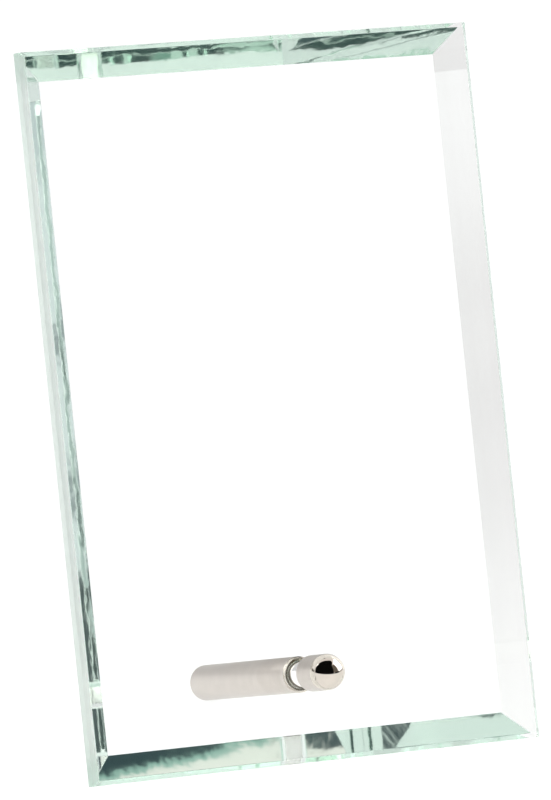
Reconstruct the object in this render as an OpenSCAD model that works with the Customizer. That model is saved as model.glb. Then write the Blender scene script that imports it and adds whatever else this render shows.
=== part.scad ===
// Glass photo plaque: a bevelled glass panel that leans back on a metal pin through its lower edge.
// Front faces -Y, +Z is up, and the origin is under the middle of the whole object.

/* [Glass panel] */
// Width of the panel
panel_w = 107; // [70:1:160]
// Height of the panel, measured up its face
panel_h = 159; // [110:1:240]
// Thickness of the panel
panel_t = 10; // [8:0.1:15]
// Width of the bevel round the back face
bevel_w = 6.3; // [3:0.1:12]
// Thickness left at the edge by the back bevel
edge_t = 3.6; // [2.4:0.1:6]
// Small chamfer round the front face
arris = 1.1; // [0.3:0.1:1.5]
// Diameter of the drilled hole
hole_d = 6; // [4.9:0.1:6.5]
// Height of the hole above the bottom edge
hole_up = 19.3; // [14:0.1:30]

/* [Rear rod] */
// Diameter of the rod behind the glass
rod_d = 8; // [7:0.1:12]
// Length of the rod
rod_len = 53; // [35:0.1:80]
// Chamfer at both ends of the rod
rod_chamfer = 0.5; // [0.2:0.1:1]

/* [Front cap] */
// Diameter of the cap and of its round end
cap_d = 8; // [7:0.1:12]
// Length of the cap's straight wall
cap_len = 7.6; // [6:0.1:14]
// Chamfer round the cap's back edge
cap_chamfer = 0.2; // [0.1:0.1:0.6]

/* [Stud, sleeve and washers] */
// Outer diameter of the stud's thread
stud_d = 3.9; // [3:0.1:4.2]
// Length of stud inside the cap
stud_in_cap = 5.4; // [4:0.1:6]
// Length of stud inside the rod
stud_in_rod = 7.5; // [6:0.1:12]
// Chamfer at both ends of the stud
stud_chamfer = 0.4; // [0.2:0.1:0.8]
// Spare depth of the tapped holes beyond the stud
tap_spare = 1.2; // [0.5:0.1:2]
// How much shorter the sleeve is than the glass is thick
sleeve_short = 0.2; // [0.1:0.1:3]
// Outer diameter of the washers
washer_d = 7.2; // [6:0.1:12]
// Thickness of the washers
washer_t = 0.2; // [0.1:0.05:1]

/* [Clearances] */
// Radial clearance of the stud in the tapped holes
thread_clear = 0.05; // [0.02:0.01:0.1]
// Radial clearance of the stud in the washers
washer_clear = 0.08; // [0.02:0.01:0.1]
// Radial clearance of the stud in the sleeve
stud_clear = 0.1; // [0.05:0.01:0.15]
// Radial clearance of the sleeve in the drilled hole
sleeve_clear = 0.05; // [0.02:0.01:0.1]

/* [Hidden] */
// Segments of every round
$fn = 96;
// Overshoot of cutters past the face they cut
past = 1;
// Depth of the back bevel
bevel_d = panel_t - edge_t;
// Where the rod starts, behind the front face
rod_start = panel_t + washer_t;
// Where the rod ends, behind the front face
rod_end = rod_start + rod_len;
// Backward lean that puts the bottom back edge and the rod's lower rim on one level
lean = atan((hole_up - rod_d / 2) / (rod_end - rod_chamfer - edge_t));
// Middle of the cap's round end, in front of the front face
dome_y = -(washer_t + cap_len);
// Foremost point of the leaning cap
front_y = dome_y * cos(lean) + hole_up * sin(lean) - cap_d / 2;
// Rearmost point of the leaning rod
rod_back_y = rod_end * cos(lean) + (hole_up + rod_d / 2 - rod_chamfer) * sin(lean);
// Rearmost point of the leaning panel
panel_back_y = panel_t * cos(lean) + (panel_h - bevel_w) * sin(lean);
// Middle of the whole depth
mid_y = (front_y + max(rod_back_y, panel_back_y)) / 2;
// Lift that puts the bottom back edge on the ground
lift = edge_t * sin(lean);

// Puts an upright piece, with its front face at y = 0, into its leaning place
module placed() {
  translate([0, -mid_y, lift])
    rotate([-lean, 0, 0])
      children();
}

// Puts a piece drawn along +Z on the pin's axis, pointing back from the front face
module on_pin(start) {
  placed()
    translate([0, start, hole_up])
      rotate([-90, 0, 0])
        children();
}

// Cutter for one edge: removes the corner beyond the line from (a, 0) to (0, b), for a length along +Z
module edge_cutter(a, b, length) {
  translate([0, 0, -past])
    linear_extrude(length + 2 * past)
      polygon([[a + past * a, -past * b], [-past * a, b + past * b], [-past * a, -past * b]]);
}

// Cutters for the four edges of a face that lies at y = 0 and faces -Y
module face_edge_cutters(w, d) {
  // left edge
  translate([-panel_w / 2, 0, 0])
    edge_cutter(w, d, panel_h);
  // right edge
  mirror([1, 0, 0])
    translate([-panel_w / 2, 0, 0])
      edge_cutter(w, d, panel_h);
  // bottom edge
  translate([-panel_w / 2, 0, 0])
    rotate([0, 90, 0])
      mirror([1, 0, 0])
        edge_cutter(w, d, panel_w);
  // top edge
  translate([-panel_w / 2, 0, panel_h])
    rotate([0, 90, 0])
      edge_cutter(w, d, panel_w);
}

// Round bar along +Z with a chamfer at each end
module bar(d, length, low_chamfer, high_chamfer) {
  rotate_extrude()
    polygon([
      [0, 0],
      [d / 2 - low_chamfer, 0],
      [d / 2, low_chamfer],
      [d / 2, length - high_chamfer],
      [d / 2 - high_chamfer, length],
      [0, length]
    ]);
}

// Flat ring along +Z
module ring(outer_d, inner_d, length) {
  difference() {
    cylinder(d = outer_d, h = length);
    translate([0, 0, -past])
      cylinder(d = inner_d, h = length + 2 * past);
  }
}

// Clear panel: chamfered front, wide bevel at the back, one drilled hole
module glass_panel() {
  color([0.82, 0.93, 0.88, 0.4])
    placed()
      difference() {
        translate([-panel_w / 2, 0, 0])
          cube([panel_w, panel_t, panel_h]);
        face_edge_cutters(arris, arris);
        translate([0, panel_t, 0])
          mirror([0, 1, 0])
            face_edge_cutters(bevel_w, bevel_d);
        translate([0, -past, hole_up])
          rotate([-90, 0, 0])
            cylinder(d = hole_d, h = panel_t + 2 * past);
      }
}

// Pale plastic sleeve that lines the hole from the front, just short of the back face
module hole_sleeve() {
  color([0.93, 0.95, 0.93])
    on_pin(0)
      ring(hole_d - 2 * sleeve_clear, stud_d + 2 * stud_clear, panel_t - sleeve_short);
}

// Clear washer between the cap and the glass
module front_washer() {
  color([0.9, 0.93, 0.91, 0.6])
    on_pin(-washer_t)
      ring(washer_d, stud_d + 2 * washer_clear, washer_t);
}

// Clear washer between the rod and the glass
module rear_washer() {
  color([0.9, 0.93, 0.91, 0.6])
    on_pin(panel_t)
      ring(washer_d, stud_d + 2 * washer_clear, washer_t);
}

// Screwed stud that joins the cap and the rod through the glass
module threaded_stud() {
  color([0.66, 0.66, 0.64])
    on_pin(-washer_t - stud_in_cap)
      bar(stud_d, stud_in_cap + 2 * washer_t + panel_t + stud_in_rod, stud_chamfer, stud_chamfer);
}

// Front cap: straight wall, half-round end, tapped hole from the back
module dome_cap() {
  color([0.78, 0.77, 0.75])
    placed()
      translate([0, -washer_t, hole_up])
        rotate([90, 0, 0])
          difference() {
            rotate_extrude()
              intersection() {
                union() {
                  polygon([
                    [0, 0],
                    [cap_d / 2 - cap_chamfer, 0],
                    [cap_d / 2, cap_chamfer],
                    [cap_d / 2, cap_len],
                    [0, cap_len]
                  ]);
                  translate([0, cap_len])
                    circle(d = cap_d);
                }
                square([cap_d, cap_len + cap_d]);
              }
            translate([0, 0, -past])
              cylinder(d = stud_d + 2 * thread_clear, h = stud_in_cap + tap_spare + past);
          }
}

// Rear rod: plain bar with a tapped hole in its front end
module stand_rod() {
  color([0.78, 0.77, 0.75])
    on_pin(rod_start)
      difference() {
        bar(rod_d, rod_len, rod_chamfer, rod_chamfer);
        translate([0, 0, -past])
          cylinder(d = stud_d + 2 * thread_clear, h = stud_in_rod + tap_spare + past);
      }
}

glass_panel();
hole_sleeve();
front_washer();
rear_washer();
threaded_stud();
dome_cap();
stand_rod();
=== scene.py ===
import math

import bpy
from mathutils import Matrix, Vector


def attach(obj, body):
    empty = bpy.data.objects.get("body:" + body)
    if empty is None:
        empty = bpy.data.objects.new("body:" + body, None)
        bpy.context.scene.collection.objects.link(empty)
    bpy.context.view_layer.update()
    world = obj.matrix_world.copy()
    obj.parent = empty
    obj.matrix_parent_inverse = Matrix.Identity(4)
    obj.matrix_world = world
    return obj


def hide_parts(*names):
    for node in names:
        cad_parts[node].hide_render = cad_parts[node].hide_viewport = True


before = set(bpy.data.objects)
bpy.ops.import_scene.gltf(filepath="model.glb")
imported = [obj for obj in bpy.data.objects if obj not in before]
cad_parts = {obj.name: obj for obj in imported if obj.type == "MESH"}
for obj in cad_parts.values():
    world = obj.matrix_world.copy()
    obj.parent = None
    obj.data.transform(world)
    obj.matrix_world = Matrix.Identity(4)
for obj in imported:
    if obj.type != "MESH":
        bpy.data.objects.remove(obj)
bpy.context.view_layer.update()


# Glass panel
# One piece of clear float glass, green through its long side. It is cut to size, its front edges
# have a small arris, its back has a wide bevel ground and polished all round, and it is drilled.
panel_width = 0.107
panel_height = 0.159
panel_thickness = 0.010
panel_edge = 0.0036
bevel_width = 0.0063
arris_width = 0.0011
worn_edge = 0.00009
hole_radius = 0.003
hole_height = 0.0193
hole_arris = 0.00004
panel_lean = math.radians(14.514266)
panel_place = Vector((0.0, -0.030091535, 0.000902236))
panel_smooth = math.radians(12.0)
round_steps = 96
flat_on = 0.99
slant_least = 0.6
slant_most = 0.8
square_on = 0.1
hole_near = 1.03
hole_clear = 2
rim_reach = 1e-5
weld = 1e-6

# its finish: the glass itself, how rough each kind of face is, the bevel's painted grey (a painted
# shade for what is seen through it) and the wheel's relief.
# A span of four numbers is a ramp: from and to, and what it gives at each end
glass_bend = 1.52
glass_green = (0.30, 0.62, 0.45, 1.0)
green_density = 4.0
no_tint = (1.0, 1.0, 1.0, 1.0)
drill_rough = 0.06
side_rough = 0.8
wheel_rough = 0.02
painted_bevel_grey = (0.625, 0.61, 0.61, 1.0)
painted_grey_least = 0.41
painted_grey_more = 0.58
painted_grey_foot = (0.0, 0.08, 0.1, 1.0)
painted_grey_top = (0.095, 0.142, 1.0, 0.0)
painted_grey_corner = (0.1484, 0.1490)
painted_grey_patchy = (0.92, 1.06)
noise_span = (0.3, 0.7)
painted_grey_scale = 38.0
bevel_crown = 0.000036
swell_height = 0.00003
swell_scale = 45.0
ripple_height = 0.000006
ripple_scale = 220.0
calm_foot = (0.008, 0.03, 0.4, 1.0)


def start_clean():
    """Nothing is selected, so that an operator acts only on the piece in hand."""
    if bpy.context.object and bpy.context.object.mode != "OBJECT":
        bpy.ops.object.mode_set(mode="OBJECT")
    bpy.ops.object.select_all(action="DESELECT")


def named(name):
    """The primitive that was just added, under the piece's own name."""
    piece = bpy.context.object
    piece.name = name
    piece.data.name = name
    bpy.ops.object.transform_apply(location=True, rotation=True, scale=True)
    return piece


def pick_faces(piece, wanted):
    """Goes into edit mode with just those faces selected whose normal is wanted."""
    bpy.ops.object.mode_set(mode="EDIT")
    bpy.ops.mesh.select_mode(type="FACE")
    bpy.ops.mesh.select_all(action="DESELECT")
    bpy.ops.object.mode_set(mode="OBJECT")
    for face in piece.data.polygons:
        face.select = wanted(face.normal)
    bpy.ops.object.mode_set(mode="EDIT")


def pick_edges(piece, wanted):
    """Goes into edit mode with just those edges selected both of whose ends are wanted."""
    bpy.ops.object.mode_set(mode="EDIT")
    bpy.ops.mesh.select_mode(type="EDGE")
    bpy.ops.mesh.select_all(action="DESELECT")
    bpy.ops.object.mode_set(mode="OBJECT")
    points = piece.data.vertices
    for edge in piece.data.edges:
        edge.select = all(wanted(points[end].co) for end in edge.vertices)
    bpy.ops.object.mode_set(mode="EDIT")


def soften(width, segments):
    """Bevels the selected edges."""
    bpy.ops.mesh.bevel(offset=width, offset_type="OFFSET", segments=segments, affect="EDGES")


def settle(piece, turn, place):
    """Turns the piece about X, puts it in place and leaves both in its mesh."""
    bpy.ops.object.mode_set(mode="OBJECT")
    piece.rotation_euler = (turn, 0.0, 0.0)
    piece.location = place
    bpy.ops.object.transform_apply(location=True, rotation=True, scale=True)


def combine(piece, tool, operation):
    """Cuts the piece with the tool, or keeps only what is inside it, and deletes the tool."""
    start_clean()
    piece.select_set(True)
    bpy.context.view_layer.objects.active = piece
    step = piece.modifiers.new("cut", "BOOLEAN")
    step.operation = operation
    step.solver = "EXACT"
    step.object = tool
    bpy.ops.object.modifier_apply(modifier=step.name)
    bpy.data.objects.remove(tool)


def new_finish(name):
    """An empty material, its node tree, its output and its main shader."""
    finish = bpy.data.materials.new(name)
    finish.use_nodes = True
    tree = finish.node_tree
    return finish, tree, tree.nodes["Material Output"], tree.nodes["Principled BSDF"]


def dress(piece, *finishes):
    """Gives the piece its materials, the main one first."""
    piece.data.materials.clear()
    for finish in finishes:
        piece.data.materials.append(finish)


def node(tree, kind, inputs=None, **settings):
    """A node with its own settings, and with its inputs set to numbers or joined to outputs."""
    made = tree.nodes.new(kind)
    for name, value in settings.items():
        setattr(made, name, value)
    for name, value in (inputs or {}).items():
        if isinstance(value, bpy.types.NodeSocket):
            tree.links.new(value, made.inputs[name])
        else:
            made.inputs[name].default_value = value
    return made


def calc(tree, operation, *values, clamp=False):
    """The output of a Math node on numbers or on other nodes' outputs."""
    return node(tree, "ShaderNodeMath", dict(enumerate(values)),
                operation=operation, use_clamp=clamp).outputs[0]


def vector_calc(tree, operation, *vectors, output="Vector"):
    """An output of a Vector Math node on vectors or on other nodes' outputs."""
    return node(tree, "ShaderNodeVectorMath", dict(enumerate(vectors)),
                operation=operation).outputs[output]


def ramp(tree, value, low, high, to_low=0.0, to_high=1.0):
    """The output of a Map Range node that eases low..high to to_low..to_high."""
    made = node(tree, "ShaderNodeMapRange", {"Value": value}, clamp=True)
    made.interpolation_type = "SMOOTHSTEP"
    ends = {"From Min": low, "From Max": high, "To Min": to_low, "To Max": to_high}
    for slot in made.inputs:
        if slot.type == "VALUE" and slot.name in ends:
            slot.default_value = ends[slot.name]
    return made.outputs[0]


def noise(tree, inputs, dimensions="3D"):
    """The output of a Noise Texture node."""
    return node(tree, "ShaderNodeTexNoise", inputs, noise_dimensions=dimensions).outputs["Fac"]


def two_colours(tree, factor, first, second):
    """The colour output of a Mix node between two colours."""
    return node(tree, "ShaderNodeMix", {0: factor, 6: first, 7: second},
                data_type="RGBA").outputs[2]


def object_place(tree):
    """Where a point of the piece is, in Object coordinates."""
    return node(tree, "ShaderNodeTexCoord").outputs["Object"]


def face_mask(tree, name):
    """The piece's own mark on its faces, as 0 or 1."""
    return node(tree, "ShaderNodeAttribute", attribute_name=name).outputs["Fac"]


start_clean()
bpy.ops.mesh.primitive_cube_add(size=1.0, location=(0.0, panel_edge / 2, panel_height / 2),
                                scale=(panel_width, panel_edge, panel_height))
panel = named("glass_panel_polished")

# the back face is drawn out and in, which leaves the wide bevel
pick_faces(panel, lambda normal: normal.y > flat_on)
bpy.ops.mesh.extrude_region_move(
    TRANSFORM_OT_translate={"value": (0.0, panel_thickness - panel_edge, 0.0)})
bpy.ops.transform.resize(
    value=(1.0 - 2 * bevel_width / panel_width, 1.0, 1.0 - 2 * bevel_width / panel_height),
    center_override=(0.0, panel_thickness, panel_height / 2))

# the arris round the front, and then the slight wear on every edge
pick_edges(panel, lambda end: end.y < weld)
soften(arris_width, 1)
bpy.ops.mesh.select_all(action="SELECT")
soften(worn_edge, 2)
bpy.ops.object.mode_set(mode="OBJECT")

# the drilled hole, with its sharp rim taken off at both faces
start_clean()
bpy.ops.mesh.primitive_cylinder_add(
    vertices=round_steps, radius=hole_radius, depth=3 * panel_thickness,
    location=(0.0, panel_thickness / 2, hole_height), rotation=(math.pi / 2, 0.0, 0.0))
combine(panel, bpy.context.object, "DIFFERENCE")
for at_front in (True, False):
    pick_edges(panel, lambda end: (end.y < panel_thickness / 2) == at_front and
               abs(math.hypot(end.x, end.z - hole_height) - hole_radius) < rim_reach)
    soften(hole_arris, 1)
    bpy.ops.object.mode_set(mode="OBJECT")
bpy.ops.object.shade_smooth_by_angle(angle=panel_smooth)

# which faces the wheel polished last, which are only ground (the left side and its arris), and
# which the drill left
wheel = panel.data.attributes.new("wheel_polish", "FLOAT", "FACE")
drilled = panel.data.attributes.new("drilled", "FLOAT", "FACE")
ground = panel.data.attributes.new("ground_side", "FLOAT", "FACE")
for face in panel.data.polygons:
    from_hole = Vector((face.center.x, face.center.z - hole_height)).length
    clear_of_hole = from_hole > hole_clear * hole_radius
    in_hole = from_hole < hole_near * hole_radius
    to_left, to_back = -face.normal.x, face.normal.y
    wheel.data[face.index].value = float(clear_of_hole and slant_least < to_back < slant_most)
    ground.data[face.index].value = float(clear_of_hole and to_left > slant_least
                                          and to_back < square_on)
    drilled.data[face.index].value = float(in_hole and abs(to_back) < slant_most)
settle(panel, -panel_lean, panel_place)

glass, tree, out, shader = new_finish("clear_float_glass")
shader.inputs["Metallic"].default_value = 0.0
shader.inputs["Transmission Weight"].default_value = 1.0
shader.inputs["IOR"].default_value = glass_bend
wheel_mask = face_mask(tree, "wheel_polish")
rough = calc(tree, "ADD", calc(tree, "MULTIPLY", face_mask(tree, "drilled"), drill_rough),
             calc(tree, "MULTIPLY", face_mask(tree, "ground_side"), side_rough))
rough = calc(tree, "ADD", rough, calc(tree, "MULTIPLY", wheel_mask, wheel_rough))
tree.links.new(rough, shader.inputs["Roughness"])

# the bevel is painted faintly grey, a painted shade that stands for what is seen through it, most
# of all halfway up the sides and along the top
where = object_place(tree)
from_foot = vector_calc(tree, "SUBTRACT", where, panel_place)
up = vector_calc(tree, "DOT_PRODUCT", from_foot,
                 (0.0, math.sin(panel_lean), math.cos(panel_lean)), output="Value")
patch_noise = noise(tree, {"Vector": where, "Scale": painted_grey_scale, "Detail": 1.0})
painted_grey_by_height = calc(tree, "MULTIPLY", ramp(tree, up, *painted_grey_top), ramp(tree, up, *painted_grey_foot))
painted_grey_by_height = calc(tree, "MAXIMUM", painted_grey_by_height, ramp(tree, up, *painted_grey_corner))
painted_grey_by_height = calc(tree, "ADD", calc(tree, "MULTIPLY", painted_grey_by_height, painted_grey_more), painted_grey_least)
painted_grey = calc(tree, "MULTIPLY", painted_grey_by_height, ramp(tree, patch_noise, *noise_span, *painted_grey_patchy))
painted_grey = calc(tree, "MULTIPLY", wheel_mask, painted_grey, clamp=True)
tree.links.new(two_colours(tree, painted_grey, no_tint, painted_bevel_grey), shader.inputs["Base Color"])

# it also leaves the bevel a little round across its width and rippled along it
depth = vector_calc(tree, "DOT_PRODUCT", from_foot,
                    (0.0, math.cos(panel_lean), -math.sin(panel_lean)), output="Value")
over_bevel = calc(tree, "DIVIDE", calc(tree, "SUBTRACT", depth, panel_edge),
                  panel_thickness - panel_edge)
off_middle = calc(tree, "SUBTRACT", over_bevel, 0.5)
crown = calc(tree, "MULTIPLY", calc(tree, "MULTIPLY", off_middle, off_middle), bevel_crown)
swell = noise(tree, {"Vector": where, "W": 0.0, "Scale": swell_scale, "Detail": 2.0}, "4D")
ripple = noise(tree, {"Vector": where, "W": 3.0, "Scale": ripple_scale, "Detail": 2.0}, "4D")
uneven = calc(tree, "ADD", calc(tree, "MULTIPLY", swell, swell_height),
              calc(tree, "MULTIPLY", ripple, ripple_height))
uneven = calc(tree, "MULTIPLY", uneven, ramp(tree, up, *calm_foot))
height = calc(tree, "MULTIPLY", calc(tree, "ADD", crown, uneven), wheel_mask)
bump = node(tree, "ShaderNodeBump", {"Strength": 1.0, "Distance": 1.0, "Height": height})
tree.links.new(bump.outputs["Normal"], shader.inputs["Normal"])
body_green = node(tree, "ShaderNodeVolumeAbsorption",
                  {"Color": glass_green, "Density": green_density})
tree.links.new(body_green.outputs["Volume"], out.inputs["Volume"])
dress(panel, glass)
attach(panel, "plaque")
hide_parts("glass_panel")


# Hole sleeve
# A short tube of pale plastic pushed into the drilled hole, so that no metal bears on the glass.
# It is cut from extruded tube, flush with the front face and just short of the back one.
sleeve_radius = 0.00295
sleeve_bore = 0.00205
sleeve_end = 0.0098
sleeve_soft = 0.00008
seat_gap = 0.00002
end_sharp = math.radians(60.0)
ring_smooth = math.radians(50.0)
pin_turn = -(math.pi / 2 + panel_lean)
pin_place = panel_place + Matrix.Rotation(-panel_lean, 3, "X") @ Vector((0.0, 0.0, hole_height))
pin_along = Matrix.Rotation(pin_turn, 3, "X") @ Vector((0.0, 0.0, 1.0))
tube_shades = ((0.95, 0.955, 0.945, 1.0), (0.99, 0.99, 0.985, 1.0))
tube_rough = (0.38, 0.52)
tube_cloud_scale = 900.0


def soften_sharp(piece, sharpness, width, segments):
    """Goes into edit mode and bevels the edges that are sharper than an angle."""
    pick_edges(piece, lambda end: False)
    bpy.ops.mesh.edges_select_sharp(sharpness=sharpness)
    soften(width, segments)


def ring_on_pin(name, outer, inner, start, end, soft):
    """A ring along the pin, from start to end behind the front face, with softened rims."""
    start_clean()
    middle = (0.0, 0.0, (start + end) / 2)
    bpy.ops.mesh.primitive_cylinder_add(vertices=round_steps, radius=outer, depth=end - start,
                                        location=middle)
    ring = named(name)
    start_clean()
    bpy.ops.mesh.primitive_cylinder_add(vertices=round_steps, radius=inner,
                                        depth=3 * (end - start), location=middle)
    combine(ring, bpy.context.object, "DIFFERENCE")
    soften_sharp(ring, end_sharp, soft, 2)
    bpy.ops.object.mode_set(mode="OBJECT")
    bpy.ops.object.shade_smooth_by_angle(angle=ring_smooth)
    settle(ring, pin_turn, pin_place)
    return ring


sleeve = ring_on_pin("hole_sleeve_tube", sleeve_radius, sleeve_bore, seat_gap, sleeve_end,
                     sleeve_soft)
tube, tree, out, shader = new_finish("pale_tube_plastic")
cloud = noise(tree, {"Vector": object_place(tree), "Scale": tube_cloud_scale, "Detail": 4.0})
tree.links.new(two_colours(tree, cloud, *tube_shades), shader.inputs["Base Color"])
tree.links.new(ramp(tree, cloud, *noise_span, *tube_rough), shader.inputs["Roughness"])
dress(sleeve, tube)
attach(sleeve, "plaque")
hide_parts("hole_sleeve")


# Threaded stud
# A length of M4 screwed steel rod, chamfered at both ends. It is fixed in the cap and goes through
# the front washer, the sleeve and the rear washer, and the rod screws on to its other end.
stud_radius = 0.00195
stud_root = 0.00156
stud_pitch = 0.0007
stud_start = -0.0056
stud_end = 0.0177
stud_chamfer = 0.0004
flank_share = 0.33
crest_share = 0.12
root_share = 1.0 - 2 * flank_share - crest_share
thread_depth = stud_radius - stud_root
thread_steps = 40
spare_turns = 4
blank_spare = 1.01
thread_smooth = math.radians(25.0)
cut_reach = 1e-7
stud_shades = ((0.20, 0.19, 0.18, 1.0), (0.68, 0.68, 0.67, 1.0))
stud_rough = (0.55, 0.28)
stud_mottle_scale = 700.0
stud_mottle_span = (0.2, 0.6, 0.75, 1.0)
grain_height = 0.00002
grain_strength = 0.3

# one turn's outline, drawn from a single point and wound up the axis
start_clean()
bpy.ops.mesh.primitive_plane_add(size=stud_pitch)
stud = named("threaded_stud_screwed")
bpy.ops.object.mode_set(mode="EDIT")
bpy.ops.mesh.select_mode(type="VERT")
bpy.ops.mesh.select_all(action="SELECT")
bpy.ops.mesh.merge(type="CENTER")
bpy.ops.transform.translate(value=(stud_root, 0.0, stud_start - 2 * stud_pitch))
for out_by, up_share in ((thread_depth, flank_share), (0.0, crest_share),
                         (-thread_depth, flank_share), (0.0, root_share)):
    bpy.ops.mesh.extrude_region_move(
        TRANSFORM_OT_translate={"value": (out_by, 0.0, up_share * stud_pitch)})
bpy.ops.object.mode_set(mode="OBJECT")
winding = stud.modifiers.new("winding", "SCREW")
winding.axis = "Z"
winding.angle = 2 * math.pi
winding.screw_offset = stud_pitch
winding.iterations = math.ceil((stud_end - stud_start) / stud_pitch) + spare_turns
winding.steps = thread_steps
winding.render_steps = thread_steps
winding.use_merge_vertices = False
winding.use_smooth_shade = False
bpy.ops.object.modifier_apply(modifier=winding.name)

# both ends are cut off flat and closed, a pitch beyond the stud's own ends
bpy.ops.object.mode_set(mode="EDIT")
bpy.ops.mesh.select_all(action="SELECT")
bpy.ops.mesh.remove_doubles(threshold=weld)
bpy.ops.mesh.bisect(plane_co=(0.0, 0.0, stud_start - stud_pitch), plane_no=(0.0, 0.0, 1.0),
                    use_fill=True, clear_inner=True, threshold=cut_reach)
bpy.ops.mesh.select_all(action="SELECT")
bpy.ops.mesh.bisect(plane_co=(0.0, 0.0, stud_end + stud_pitch), plane_no=(0.0, 0.0, 1.0),
                    use_fill=True, clear_outer=True, threshold=cut_reach)
bpy.ops.mesh.select_all(action="SELECT")
bpy.ops.mesh.normals_make_consistent(inside=False)
bpy.ops.object.mode_set(mode="OBJECT")

# the chamfered blank that the thread is cut on gives both ends their shape
start_clean()
bpy.ops.mesh.primitive_cylinder_add(vertices=round_steps, radius=blank_spare * stud_radius,
                                    depth=stud_end - stud_start,
                                    location=(0.0, 0.0, (stud_start + stud_end) / 2))
blank = named("stud_blank")
soften_sharp(blank, end_sharp, stud_chamfer, 1)
bpy.ops.object.mode_set(mode="OBJECT")
combine(stud, blank, "INTERSECT")
bpy.ops.object.shade_smooth_by_angle(angle=thread_smooth)
settle(stud, pin_turn, pin_place)


def pin_group(name, outputs):
    """A node group that takes a place on a pin piece, with the outputs named."""
    group = bpy.data.node_groups.new(name, "ShaderNodeTree")
    group.interface.new_socket("Place", in_out="INPUT", socket_type="NodeSocketVector")
    for output in outputs:
        group.interface.new_socket(output, in_out="OUTPUT", socket_type="NodeSocketFloat")
    return group, node(group, "NodeGroupInput"), node(group, "NodeGroupOutput")


# how far along the pin a place is, and how far out from its axis
pin_measure, entry, exits = pin_group("along_and_out_from_the_pin", ("Along", "Out"))
from_start = vector_calc(pin_measure, "SUBTRACT", entry.outputs["Place"], pin_place)
along = vector_calc(pin_measure, "DOT_PRODUCT", from_start, pin_along, output="Value")
sideways = vector_calc(pin_measure, "CROSS_PRODUCT", from_start, pin_along)
outward = vector_calc(pin_measure, "LENGTH", sideways, output="Value")
pin_measure.links.new(along, exits.inputs["Along"])
pin_measure.links.new(outward, exits.inputs["Out"])

# lighter on the crests and darker towards the thread roots, in patches
screw_steel, tree, out, shader = new_finish("screwed_steel")
where = object_place(tree)
spot = node(tree, "ShaderNodeGroup", node_tree=pin_measure)
tree.links.new(where, spot.inputs["Place"])
stud_mottle = noise(tree, {"Vector": where, "Scale": stud_mottle_scale, "Detail": 5.0})
crest_lightness = calc(tree, "MULTIPLY", ramp(tree, spot.outputs["Out"], stud_root, stud_radius),
            ramp(tree, stud_mottle, *stud_mottle_span))
tree.links.new(two_colours(tree, crest_lightness, *stud_shades), shader.inputs["Base Color"])
tree.links.new(ramp(tree, crest_lightness, 0.0, 1.0, *stud_rough), shader.inputs["Roughness"])
shader.inputs["Metallic"].default_value = 1.0
grain = node(tree, "ShaderNodeBump",
             {"Strength": grain_strength, "Distance": grain_height, "Height": stud_mottle})
tree.links.new(grain.outputs["Normal"], shader.inputs["Normal"])
dress(stud, screw_steel)
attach(stud, "plaque")
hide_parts("threaded_stud")


# Front cap
# Turned from bar with a half-round end: the straight wall is satin nickel and the round end is
# polished. A hole is drilled and tapped from the back, and the cap is screwed tight on the stud.
cap_radius = 0.003995
cap_wall = 0.0076
cap_back = -0.0002
cap_chamfer = 0.0002
tap_radius = 0.0020
tap_depth = 0.0066
drill_point = 0.0006
dome_rings = 48
end_facing = 0.5
turned_smooth = math.radians(30.0)
mark_scale = 9000.0
cloud_scale = 350.0
satin_rough = (0.30, 0.36)
satin_lines = 0.000002
satin_shades = ((0.628, 0.577, 0.534, 1.0), (0.676, 0.622, 0.578, 1.0))
polish_rough = (0.03, 0.05)
polish_rings = 0.0000001
polish_shades = ((0.67, 0.616, 0.55, 1.0), (0.715, 0.66, 0.589, 1.0))


def draw_out(along, scale=1.0):
    """Extrudes what is selected along Z and widens or narrows it about the Z axis."""
    bpy.ops.mesh.extrude_region_move(TRANSFORM_OT_translate={"value": (0.0, 0.0, along)})
    if scale != 1.0:
        bpy.ops.transform.resize(value=(scale, scale, 1.0), center_override=(0.0, 0.0, 0.0))


start_clean()
bpy.ops.mesh.primitive_uv_sphere_add(segments=round_steps, ring_count=dome_rings,
                                     radius=cap_radius,
                                     location=(0.0, 0.0, cap_back - cap_wall))
cap = named("dome_cap_turned")
bpy.ops.object.mode_set(mode="EDIT")
bpy.ops.mesh.select_all(action="SELECT")
bpy.ops.mesh.bisect(plane_co=(0.0, 0.0, cap_back - cap_wall), plane_no=(0.0, 0.0, 1.0),
                    clear_outer=True, threshold=weld)
pick_edges(cap, lambda end: end.z > cap_back - cap_wall - weld)
draw_out(cap_wall - cap_chamfer)
draw_out(cap_chamfer, (cap_radius - cap_chamfer) / cap_radius)
draw_out(0.0, tap_radius / (cap_radius - cap_chamfer))
draw_out(-tap_depth)
draw_out(-drill_point, 0.0)
bpy.ops.mesh.remove_doubles(threshold=weld)
bpy.ops.mesh.select_all(action="SELECT")
bpy.ops.mesh.normals_make_consistent(inside=False)
bpy.ops.object.mode_set(mode="OBJECT")
bpy.ops.object.shade_smooth_by_angle(angle=turned_smooth)
polished_faces = [face.index for face in cap.data.polygons
                  if face.center.z < cap_back - cap_wall or face.normal.z > end_facing]
settle(cap, pin_turn, pin_place)

# fine lines that the lathe leaves, and the faint cloudiness of handled metal
lathe_marks, entry, exits = pin_group("lathe_marks", ("Lines", "Rings", "Cloud"))
spot = node(lathe_marks, "ShaderNodeGroup", node_tree=pin_measure)
lathe_marks.links.new(entry.outputs["Place"], spot.inputs["Place"])
for source, target in (("Along", "Lines"), ("Out", "Rings")):
    line = noise(lathe_marks, {"W": spot.outputs[source], "Scale": mark_scale, "Detail": 2.0},
                 "1D")
    lathe_marks.links.new(line, exits.inputs[target])
cloud = noise(lathe_marks,
              {"Vector": entry.outputs["Place"], "Scale": cloud_scale, "Detail": 4.0})
lathe_marks.links.new(cloud, exits.inputs["Cloud"])


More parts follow.
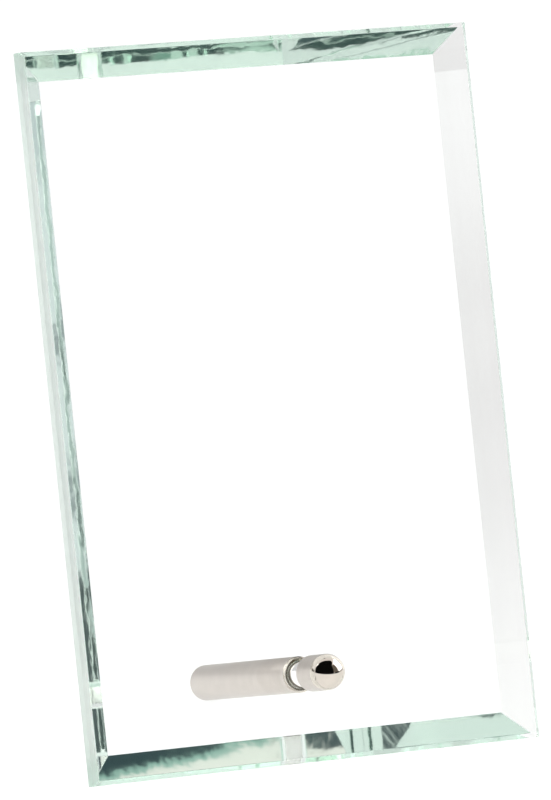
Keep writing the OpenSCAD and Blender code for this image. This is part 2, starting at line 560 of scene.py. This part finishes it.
def nickel(name, rough, marks, mark_height, shades):
    """Nickel plate with lathe lines or rings as fine relief, and cloudy colour and gloss."""
    finish, tree, out, shader = new_finish(name)
    group = node(tree, "ShaderNodeGroup", node_tree=lathe_marks)
    tree.links.new(object_place(tree), group.inputs["Place"])
    cloud = group.outputs["Cloud"]
    shader.inputs["Metallic"].default_value = 1.0
    tree.links.new(two_colours(tree, ramp(tree, cloud, *noise_span), *shades),
                   shader.inputs["Base Color"])
    tree.links.new(ramp(tree, cloud, *noise_span, *rough), shader.inputs["Roughness"])
    relief = node(tree, "ShaderNodeBump",
                  {"Strength": 1.0, "Distance": mark_height, "Height": group.outputs[marks]})
    tree.links.new(relief.outputs["Normal"], shader.inputs["Normal"])
    return finish


satin_nickel = nickel("satin_nickel", satin_rough, "Lines", satin_lines, satin_shades)
polished_nickel = nickel("polished_nickel", polish_rough, "Rings", polish_rings, polish_shades)
dress(cap, satin_nickel, polished_nickel)
for index in polished_faces:
    cap.data.polygons[index].material_index = 1
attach(cap, "plaque")
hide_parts("dome_cap")


# Front and rear washers
# Two thin rings punched from clear soft plastic sheet. One sits between the cap and the glass and
# the other between the rod and the glass, so that the metal never presses on the glass.
washer_radius = 0.0036
washer_bore = 0.00203
washer_thick = 0.0002
washer_soft = 0.00004
washer_bend = 1.47
washer_shades = ((0.88, 0.92, 0.90, 1.0), (0.96, 0.97, 0.965, 1.0))
washer_rough = (0.05, 0.16)
washer_haze_scale = 1200.0

washer_plastic, tree, out, shader = new_finish("clear_washer_plastic")
patch_noise = noise(tree, {"Vector": object_place(tree), "Scale": washer_haze_scale, "Detail": 3.0})
tree.links.new(two_colours(tree, patch_noise, *washer_shades), shader.inputs["Base Color"])
tree.links.new(ramp(tree, patch_noise, *noise_span, *washer_rough), shader.inputs["Roughness"])
shader.inputs["Transmission Weight"].default_value = 1.0
shader.inputs["IOR"].default_value = washer_bend
for name, body, replaced, start in (
        ("front_washer_clear", "plaque", "front_washer", -washer_thick),
        ("rear_washer_clear", "washer", "rear_washer", panel_thickness)):
    washer = ring_on_pin(name, washer_radius, washer_bore, start + seat_gap,
                         start + washer_thick - seat_gap, washer_soft)
    dress(washer, washer_plastic)
    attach(washer, body)
    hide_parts(replaced)


# Stand rod
# A plain length of 8 mm bar, satin nickel on its wall, with both ends faced and chamfered bright.
# Its front end is drilled and tapped for the stud, and its far end is the plaque's rear foot.
rod_radius = 0.004
rod_start = 0.0102
rod_length = 0.053
rod_chamfer = 0.0005
rod_tap_depth = 0.0087
rod_worn = 0.00006
chamfer_sharp = math.radians(30.0)
bright_facing = 0.3

start_clean()
bpy.ops.mesh.primitive_cylinder_add(vertices=round_steps, radius=rod_radius, depth=rod_length,
                                    location=(0.0, 0.0, rod_start + rod_length / 2))
rod = named("stand_rod_turned")
soften_sharp(rod, end_sharp, rod_chamfer, 1)
soften_sharp(rod, chamfer_sharp, rod_worn, 2)
pick_faces(rod, lambda normal: normal.z < -flat_on)
bpy.ops.mesh.inset(thickness=rod_radius - rod_chamfer - rod_worn - tap_radius)
draw_out(rod_tap_depth)
draw_out(drill_point, 0.0)
bpy.ops.mesh.remove_doubles(threshold=weld)
bpy.ops.object.mode_set(mode="OBJECT")
bpy.ops.object.shade_smooth_by_angle(angle=turned_smooth)
bright_faces = [face.index for face in rod.data.polygons
                if abs(face.normal.z) > bright_facing]
settle(rod, pin_turn, pin_place)
dress(rod, satin_nickel, polished_nickel)
for index in bright_faces:
    rod.data.polygons[index].material_index = 1
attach(rod, "rod")
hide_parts("stand_rod")


# Floor
# A plain white sheet that the plaque stands on, wide enough to fill the picture behind it. It
# shows white to the eye and in metal, and keeps a soft shadow under the pin. Light that has turned
# inside the glass shows it in other tones, by how often it turned: a painted reflection a little
# darker after more than one turn, a painted glow far brighter than white after more than eight, and
# a painted dark olive shade where the light has also passed glass more than three times.
floor_size = 9.0
floor_drop = 0.00002
floor_cuts = 3
floor_glow = 0.95
floor_plain = (0.8, 0.8, 0.8, 1.0)
floor_pale = (0.14, 0.14, 0.14, 1.0)
floor_painted_far_tone = (0.88, 0.85, 0.88, 1.0)
floor_painted_long_glow = (2.3, 2.03, 2.17, 1.0)
floor_painted_olive_shade = (0.10, 0.074, 0.032, 1.0)
longest_way = 8
end_passes = 3


def in_view(tree, ray):
    """1 for light that the eye follows: straight, off a gloss or through glass."""
    followed = calc(tree, "ADD", ray.outputs["Is Glossy Ray"], ray.outputs["Is Transmission Ray"])
    return calc(tree, "ADD", ray.outputs["Is Camera Ray"], followed, clamp=True)


def more_than(tree, ray, kind, count):
    """1 for light that met that kind of surface more often than the count."""
    return calc(tree, "GREATER_THAN", ray.outputs[kind + " Depth"], count + 0.5)


start_clean()
bpy.ops.mesh.primitive_plane_add(size=floor_size, location=(0.0, 0.0, -floor_drop))
floor = named("white_sheet")
bpy.ops.object.mode_set(mode="EDIT")
bpy.ops.mesh.subdivide(number_cuts=floor_cuts)
bpy.ops.object.mode_set(mode="OBJECT")
sheet, tree, out, shader = new_finish("white_sheet_matt")
ray = node(tree, "ShaderNodeLightPath")
direct = calc(tree, "LESS_THAN", ray.outputs["Diffuse Depth"], 0.5)
turned = calc(tree, "MULTIPLY", direct, more_than(tree, ray, "Glossy", 1))
off_end = calc(tree, "MULTIPLY", turned, more_than(tree, ray, "Transmission", end_passes))
# painted reflections and painted shade: the glow's tone changes for light that turned in the glass
glow_and_painted_tone = two_colours(tree, turned, no_tint, floor_painted_far_tone)
glow_and_painted_tone = two_colours(tree, more_than(tree, ray, "Glossy", longest_way), glow_and_painted_tone, floor_painted_long_glow)
glow_and_painted_tone = two_colours(tree, off_end, glow_and_painted_tone, floor_painted_olive_shade)
glow = node(tree, "ShaderNodeEmission", {"Color": glow_and_painted_tone, "Strength": floor_glow})
pale = node(tree, "ShaderNodeBsdfDiffuse", {"Color": floor_pale})
white = node(tree, "ShaderNodeAddShader", {0: glow.outputs[0], 1: pale.outputs[0]})
plain = node(tree, "ShaderNodeBsdfDiffuse", {"Color": floor_plain})
both = node(tree, "ShaderNodeMixShader",
            {0: in_view(tree, ray), 1: plain.outputs[0], 2: white.outputs[0]})
tree.links.new(both.outputs[0], out.inputs["Surface"])
tree.nodes.remove(shader)
floor.data.materials.append(sheet)


# Studio
# A white room with a dark end behind the camera, a softbox at the right and one at the rear
# left. Plain views straight through the glass show only white. Metal shows the room, and the
# glass's edges show it in tones that depend on how often the light turned on its way.
room_white = (1.12, 1.12, 1.12, 1.0)
room_level = (0.75, 0.75, 0.75, 1.0)
room_rear = (0.97, 0.94, 0.93, 1.0)
room_back = (0.63, 0.625, 0.62, 1.0)
room_dark = (0.004, 0.004, 0.004, 1.0)
room_dim = (0.17, 0.15, 0.13, 1.0)
room_brown = (0.05, 0.036, 0.02, 1.0)
room_gap = (0.55, 0.53, 0.51, 1.0)
through_glass = (4.8, 4.8, 4.5, 1.0)
edge_dark = (0.055, 0.09, 0.105, 1.0)
edge_low = (0.11, 0.135, 0.14, 1.0)
edge_grey = (0.40, 0.43, 0.45, 1.0)
edge_soft = (0.74, 0.77, 0.81, 1.0)
edge_pale = (0.95, 0.96, 1.00, 1.0)
edge_teal = (0.47, 0.67, 0.62, 1.0)
edge_warm = (1.32, 1.165, 1.15, 1.0)
edge_far = (1.9, 1.63, 1.74, 1.0)
edge_olive = (0.10, 0.074, 0.032, 1.0)
camera_side = math.radians(-24.3)
to_degrees = math.degrees(1.0)
room_soft = 2.0
some_turns = 3
many_turns = 5

# where the room changes, in degrees: azimuth from the front, elevation from level, and the rise
# from the camera's side up and over to the rear
rear_from = (34.0, 42.0)
dark_rise = (-10.0, 102.0)
dark_left = (-114.0, -110.0)
dark_right = (45.0, 75.0, 22.0, 80.0)
brown_rise = (95.0, 134.0)
brown_from = (42.0, 50.0)
olive_span = (-50.0, 200.0)
olive_soft = 5.0
slope_start = -11.3
slope_span = (14.0, 33.0)
slope_top = (68.0, 72.0, 1.0, 0.0)
slope_teal = (-0.42, -0.17)
slope_dark = (0.0, 0.3)
zenith_from = (74.0, 76.0)

# parts of the room: a colour, two azimuths, two elevations and how soft their ends are
metal_parts = (
    (room_dim, 20.0, 52.0, 6.0, 50.0, room_soft),
    (room_dark, 20.0, 62.0, -9.0, 7.0, room_soft),
    (room_gap, 17.0, 27.0, -9.0, 9.0, room_soft))
cap_parts = (
    (room_back, 140.0, 182.0, -10.0, 20.0, room_soft),
    (room_back, -182.0, -140.0, -10.0, 20.0, room_soft),
    (room_brown, -137.0, -105.0, -9.0, 10.0, room_soft))
glass_parts = (
    (edge_dark, 24.35, 30.0, 11.5, 14.0, 0.1),
    (edge_dark, 150.0, 182.0, 77.7, 88.0, 0.3),
    (edge_dark, -182.0, -150.0, 77.7, 88.0, 0.3))
some_parts = (
    (edge_dark, 104.0, 132.0, 56.0, 80.0, room_soft),
    (edge_dark, -132.0, -106.0, 56.0, 80.0, room_soft),
    (edge_dark, 0.0, 40.0, 40.0, 80.0, room_soft),
    (edge_teal, -160.0, -140.0, 74.0, 84.0, room_soft),
    (edge_dark, -35.0, -16.0, 14.5, 26.0, 0.3),
    (edge_dark, 10.0, 40.0, 3.0, 28.0, 0.3))
many_parts = (
    (edge_dark, -35.0, -16.0, 6.0, 17.2, 0.2),
    (edge_dark, -16.0, 40.0, 3.0, 16.8, 0.3),
    (edge_dark, 150.0, 182.0, 45.0, 88.0, room_soft),
    (edge_dark, -182.0, -150.0, 45.0, 88.0, room_soft))

# level bands: a colour and two elevations from a step, and for each place two azimuths and its step
bands = ((edge_low, -9.0, 0.0), (edge_pale, 0.0, 3.1), (edge_soft, 3.1, 9.0),
         (edge_grey, 0.5, 0.85), (edge_grey, 1.65, 1.95))
band_soft = 0.1
front_bands = (-14.0, 6.0, 15.0)
right_bands = (45.0, 90.0, 6.3)
left_bands = (-100.0, -70.0, 1.95)

# the lamps: a name, a place, a power in watts, a width and a height
lamp_aim = Vector((0.0, 0.0, 0.05))
softboxes = (
    ("softbox_right", (1.394, -0.296, 0.926), 13.0, 1.3, 1.6),
    ("softbox_left", (-1.128, 0.946, 0.850), 8.0, 1.2, 1.1))

world = bpy.data.worlds.new("studio")
bpy.context.scene.world = world
world.use_nodes = True
tree = world.node_tree
background = tree.nodes["Background"]
outlook = node(tree, "ShaderNodeTexCoord").outputs["Generated"]
toward = node(tree, "ShaderNodeSeparateXYZ", {0: outlook})
frontward = calc(tree, "MULTIPLY", toward.outputs["Y"], -1.0)
azimuth = calc(tree, "MULTIPLY", calc(tree, "ARCTAN2", toward.outputs["X"], frontward), to_degrees)
elevation = calc(tree, "MULTIPLY", calc(tree, "ARCSINE", toward.outputs["Z"]), to_degrees)
ahead = vector_calc(tree, "DOT_PRODUCT", outlook,
                    (math.sin(camera_side), -math.cos(camera_side), 0.0), output="Value")
rise = calc(tree, "MULTIPLY", calc(tree, "ARCTAN2", toward.outputs["Z"], ahead), to_degrees)


def between(value, low, high, soft):
    """1 from low to high and 0 outside, with soft ends."""
    return calc(tree, "MULTIPLY", ramp(tree, value, low - soft, low + soft),
                ramp(tree, value, high - soft, high + soft, 1.0, 0.0))


def patched(under, parts):
    """Puts parts of the room over what is under them, one after another."""
    for colour, az_low, az_high, el_low, el_high, soft in parts:
        over = calc(tree, "MULTIPLY", between(azimuth, az_low, az_high, soft),
                    between(elevation, el_low, el_high, soft))
        under = two_colours(tree, over, under, colour)
    return under


def banded(under, az_low, az_high, step):
    """Level bands between two azimuths: dark up to the step, and pale above it with grey lines."""
    return patched(under, [(colour, az_low, az_high, step + low, step + high, band_soft)
                           for colour, low, high in bands])


# what the metal shows: a pale rear, a dark end that reaches overhead, and a gap beside it
in_metal = two_colours(tree, ramp(tree, elevation, *rear_from), room_back, room_rear)
in_metal = patched(in_metal, metal_parts)
from_right = calc(tree, "SUBTRACT", azimuth, ramp(tree, elevation, *dark_right))
dark_wide = calc(tree, "MULTIPLY", ramp(tree, azimuth, *dark_left),
                 ramp(tree, from_right, -room_soft, room_soft, 1.0, 0.0))
dark_end = calc(tree, "MULTIPLY", between(rise, *dark_rise, room_soft), dark_wide)
in_metal = two_colours(tree, dark_end, in_metal, room_dark)

# what the long ways through the glass from edge to edge show
above_line = calc(tree, "SUBTRACT", elevation, calc(tree, "ADD", azimuth, slope_start))
beside = calc(tree, "MULTIPLY", between(azimuth, *slope_span, room_soft),
              ramp(tree, elevation, *slope_top))
in_glass = two_colours(tree, beside, room_white, edge_warm)
for colour, line in ((edge_teal, slope_teal), (edge_dark, slope_dark)):
    over = calc(tree, "MULTIPLY", beside, ramp(tree, above_line, *line))
    in_glass = two_colours(tree, over, in_glass, colour)
in_glass = patched(in_glass, glass_parts)

# ways with more turns in them, by how many they have
ray = node(tree, "ShaderNodeLightPath")
by_some = banded(banded(room_white, *front_bands), *right_bands)
by_some = two_colours(tree, ramp(tree, elevation, *zenith_from), by_some, edge_dark)
by_some = patched(by_some, some_parts)
longest = more_than(tree, ray, "Glossy", longest_way)
by_many = banded(two_colours(tree, longest, room_white, edge_far), *left_bands)
by_many = patched(by_many, many_parts)
in_glass = two_colours(tree, more_than(tree, ray, "Glossy", some_turns), in_glass, by_some)
in_glass = two_colours(tree, more_than(tree, ray, "Glossy", many_turns), in_glass, by_many)

# what is shown: plain white, the room past the cap, the room in metal, and the glass's edges
once = more_than(tree, ray, "Glossy", 0)
off_metal = calc(tree, "MULTIPLY", ray.outputs["Is Glossy Ray"],
                 calc(tree, "SUBTRACT", 1.0, ray.outputs["Is Transmission Ray"]))
shown = two_colours(tree, once, room_white, patched(room_white, cap_parts))
shown = two_colours(tree, off_metal, shown, in_metal)
overhead = calc(tree, "MULTIPLY", between(rise, *brown_rise, room_soft),
                ramp(tree, elevation, *brown_from))
behind = calc(tree, "MULTIPLY", off_metal, more_than(tree, ray, "Transmission", 1))
shown = two_colours(tree, calc(tree, "MULTIPLY", behind, overhead), shown, room_brown)
shown = two_colours(tree, more_than(tree, ray, "Glossy", 1), shown, in_glass)
off_end = calc(tree, "MULTIPLY", calc(tree, "MULTIPLY", once,
                                      between(azimuth, *olive_span, olive_soft)),
               more_than(tree, ray, "Transmission", end_passes))
shown = two_colours(tree, off_end, shown, edge_olive)

# the sleeve gets more light through the glass, to be as pale in the bevels as in the picture
shown = two_colours(tree, more_than(tree, ray, "Diffuse", 0), shown, through_glass)
tree.links.new(two_colours(tree, in_view(tree, ray), room_level, shown),
               background.inputs["Color"])
background.inputs["Strength"].default_value = 1.0

for name, place, power, wide, tall in softboxes:
    lamp = bpy.data.lights.new(name, "AREA")
    lamp.energy = power
    lamp.shape = "RECTANGLE"
    lamp.size = wide
    lamp.size_y = tall
    softbox = bpy.data.objects.new(name, lamp)
    bpy.context.scene.collection.objects.link(softbox)
    softbox.visible_transmission = False
    softbox.location = place
    softbox.rotation_euler = (lamp_aim - Vector(place)).to_track_quat("-Z", "Y").to_euler()


# Camera
# A long lens a little to the left and above, level, as the picture was taken. The eye is moved a
# little to the left and down, so that the plaque sits in the frame as it does there.
view_azimuth = math.radians(-24.33322)
view_elevation = math.radians(11.51004)
view_distance = 1.61948
view_aim = Vector((0.0, -0.010167, 0.077865))
eye_left = 0.00177091
eye_down = 0.00032584
sensor_height = 36.0
lens_length = 334.27
light_turns = 40

toward_eye = Vector((math.sin(view_azimuth) * math.cos(view_elevation),
                     -math.cos(view_azimuth) * math.cos(view_elevation),
                     math.sin(view_elevation)))
to_right = Vector((math.cos(view_azimuth), math.sin(view_azimuth), 0.0))
to_top = toward_eye.cross(to_right)
lens = bpy.data.cameras.new("long_lens")
lens.sensor_fit = "VERTICAL"
lens.sensor_height = sensor_height
lens.lens = lens_length
camera = bpy.data.objects.new("camera", lens)
bpy.context.scene.collection.objects.link(camera)
eye = view_aim + toward_eye * view_distance - to_right * eye_left - to_top * eye_down
turn = Matrix((to_right, to_top, toward_eye)).transposed()
camera.matrix_world = Matrix.Translation(eye) @ turn.to_4x4()
scene = bpy.context.scene
scene.camera = camera
scene.view_settings.view_transform = "Standard"
scene.cycles.max_bounces = light_turns
scene.cycles.glossy_bounces = light_turns
scene.cycles.transmission_bounces = light_turns

bpy.context.view_layer.update()
